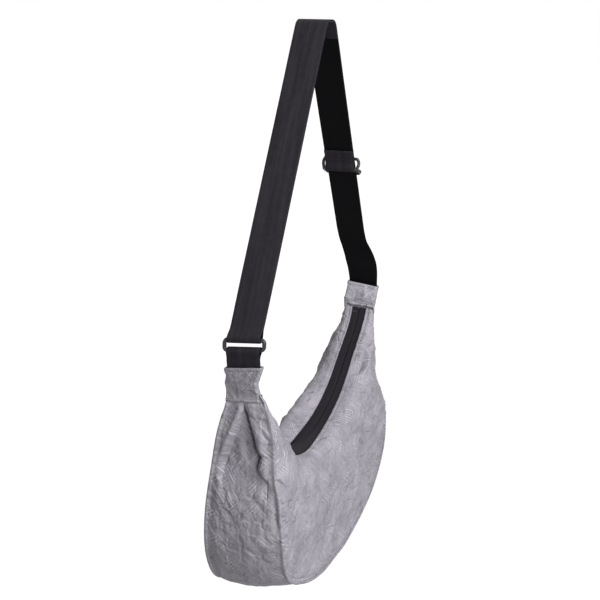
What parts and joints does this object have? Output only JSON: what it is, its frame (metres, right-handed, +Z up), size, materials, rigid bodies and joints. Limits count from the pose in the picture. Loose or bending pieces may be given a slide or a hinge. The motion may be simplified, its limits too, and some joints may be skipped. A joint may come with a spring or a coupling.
{
  "type": "crescent crossbody bag",
  "caption": "Soft crescent bag with a curved top zip, fabric end tabs, and a wide webbing strap that doubles back through a ring to a sliding adjuster.",
  "frame": {"origin": "middle of the flat underside of the strap at its apex, where the bag hangs", "axes": "+X along the bag towards the plain tab, away from the ring end; -Y is the front panel; +Z up"},
  "size_m": [0.3895, 0.099, 0.6591],
  "materials": {
    "crinkled_nylon": "crinkled grey nylon with a tone-on-tone basketweave hatch",
    "black_webbing": "tightly woven black webbing with a satin face",
    "black_zip_tape": "smooth black reverse zip tape",
    "black_zip_coil": "black moulded coil",
    "black_binding": "matte black woven binding",
    "black_acetal": "moulded black acetal, satin",
    "black_painted_zinc": "black painted die-cast zinc"
  },
  "bodies": {
    "root": {"front_panel": "crinkled_nylon", "back_panel": "crinkled_nylon", "bottom_gusset": "crinkled_nylon", "seam_binding_front": "black_binding", "seam_binding_back": "black_binding", "zip_tape_front": "black_zip_tape", "zip_tape_back": "black_zip_tape", "zip_coil_front": "black_zip_coil", "zip_coil_back": "black_zip_coil", "zip_stop_near": "black_painted_zinc", "zip_stop_far": "black_painted_zinc", "tab_near": "crinkled_nylon", "tab_far": "crinkled_nylon", "ring_loop_webbing": "black_webbing", "strap_webbing": "black_webbing", "strap_return_run": "black_webbing"},
    "slider": {"zip_slider": "black_painted_zinc"},
    "pull": {"zip_pull": "black_painted_zinc"},
    "ring": {"strap_ring": "black_acetal"},
    "adjuster": {"strap_adjuster": "black_acetal", "strap_sewn_end": "black_webbing"}
  },
  "joints": [
    {"name": "zip_slide", "type": "hinge", "parent": "root", "child": "slider", "pos_m": [0, 0, -0.30968], "axis": [0, -1, 0], "range_deg": [0, 115]},
    {"name": "pull_swing", "type": "hinge", "parent": "slider", "child": "pull", "pos_m": [-0.1651, 0, -0.4041], "axis": [0, -1, 0], "range_deg": [0, 150]},
    {"name": "ring_rock", "type": "hinge", "parent": "root", "child": "ring", "pos_m": [-0.19, 0, -0.32905], "axis": [0, 1, 0], "range_deg": [-4, 4]},
    {"name": "adjuster_slide", "type": "slide", "parent": "root", "child": "adjuster", "axis": [-0.4546, 0, 0.8907], "range_m": [-0.1, 0.085], "deforming": ["strap_return_run"]}
  ]
}
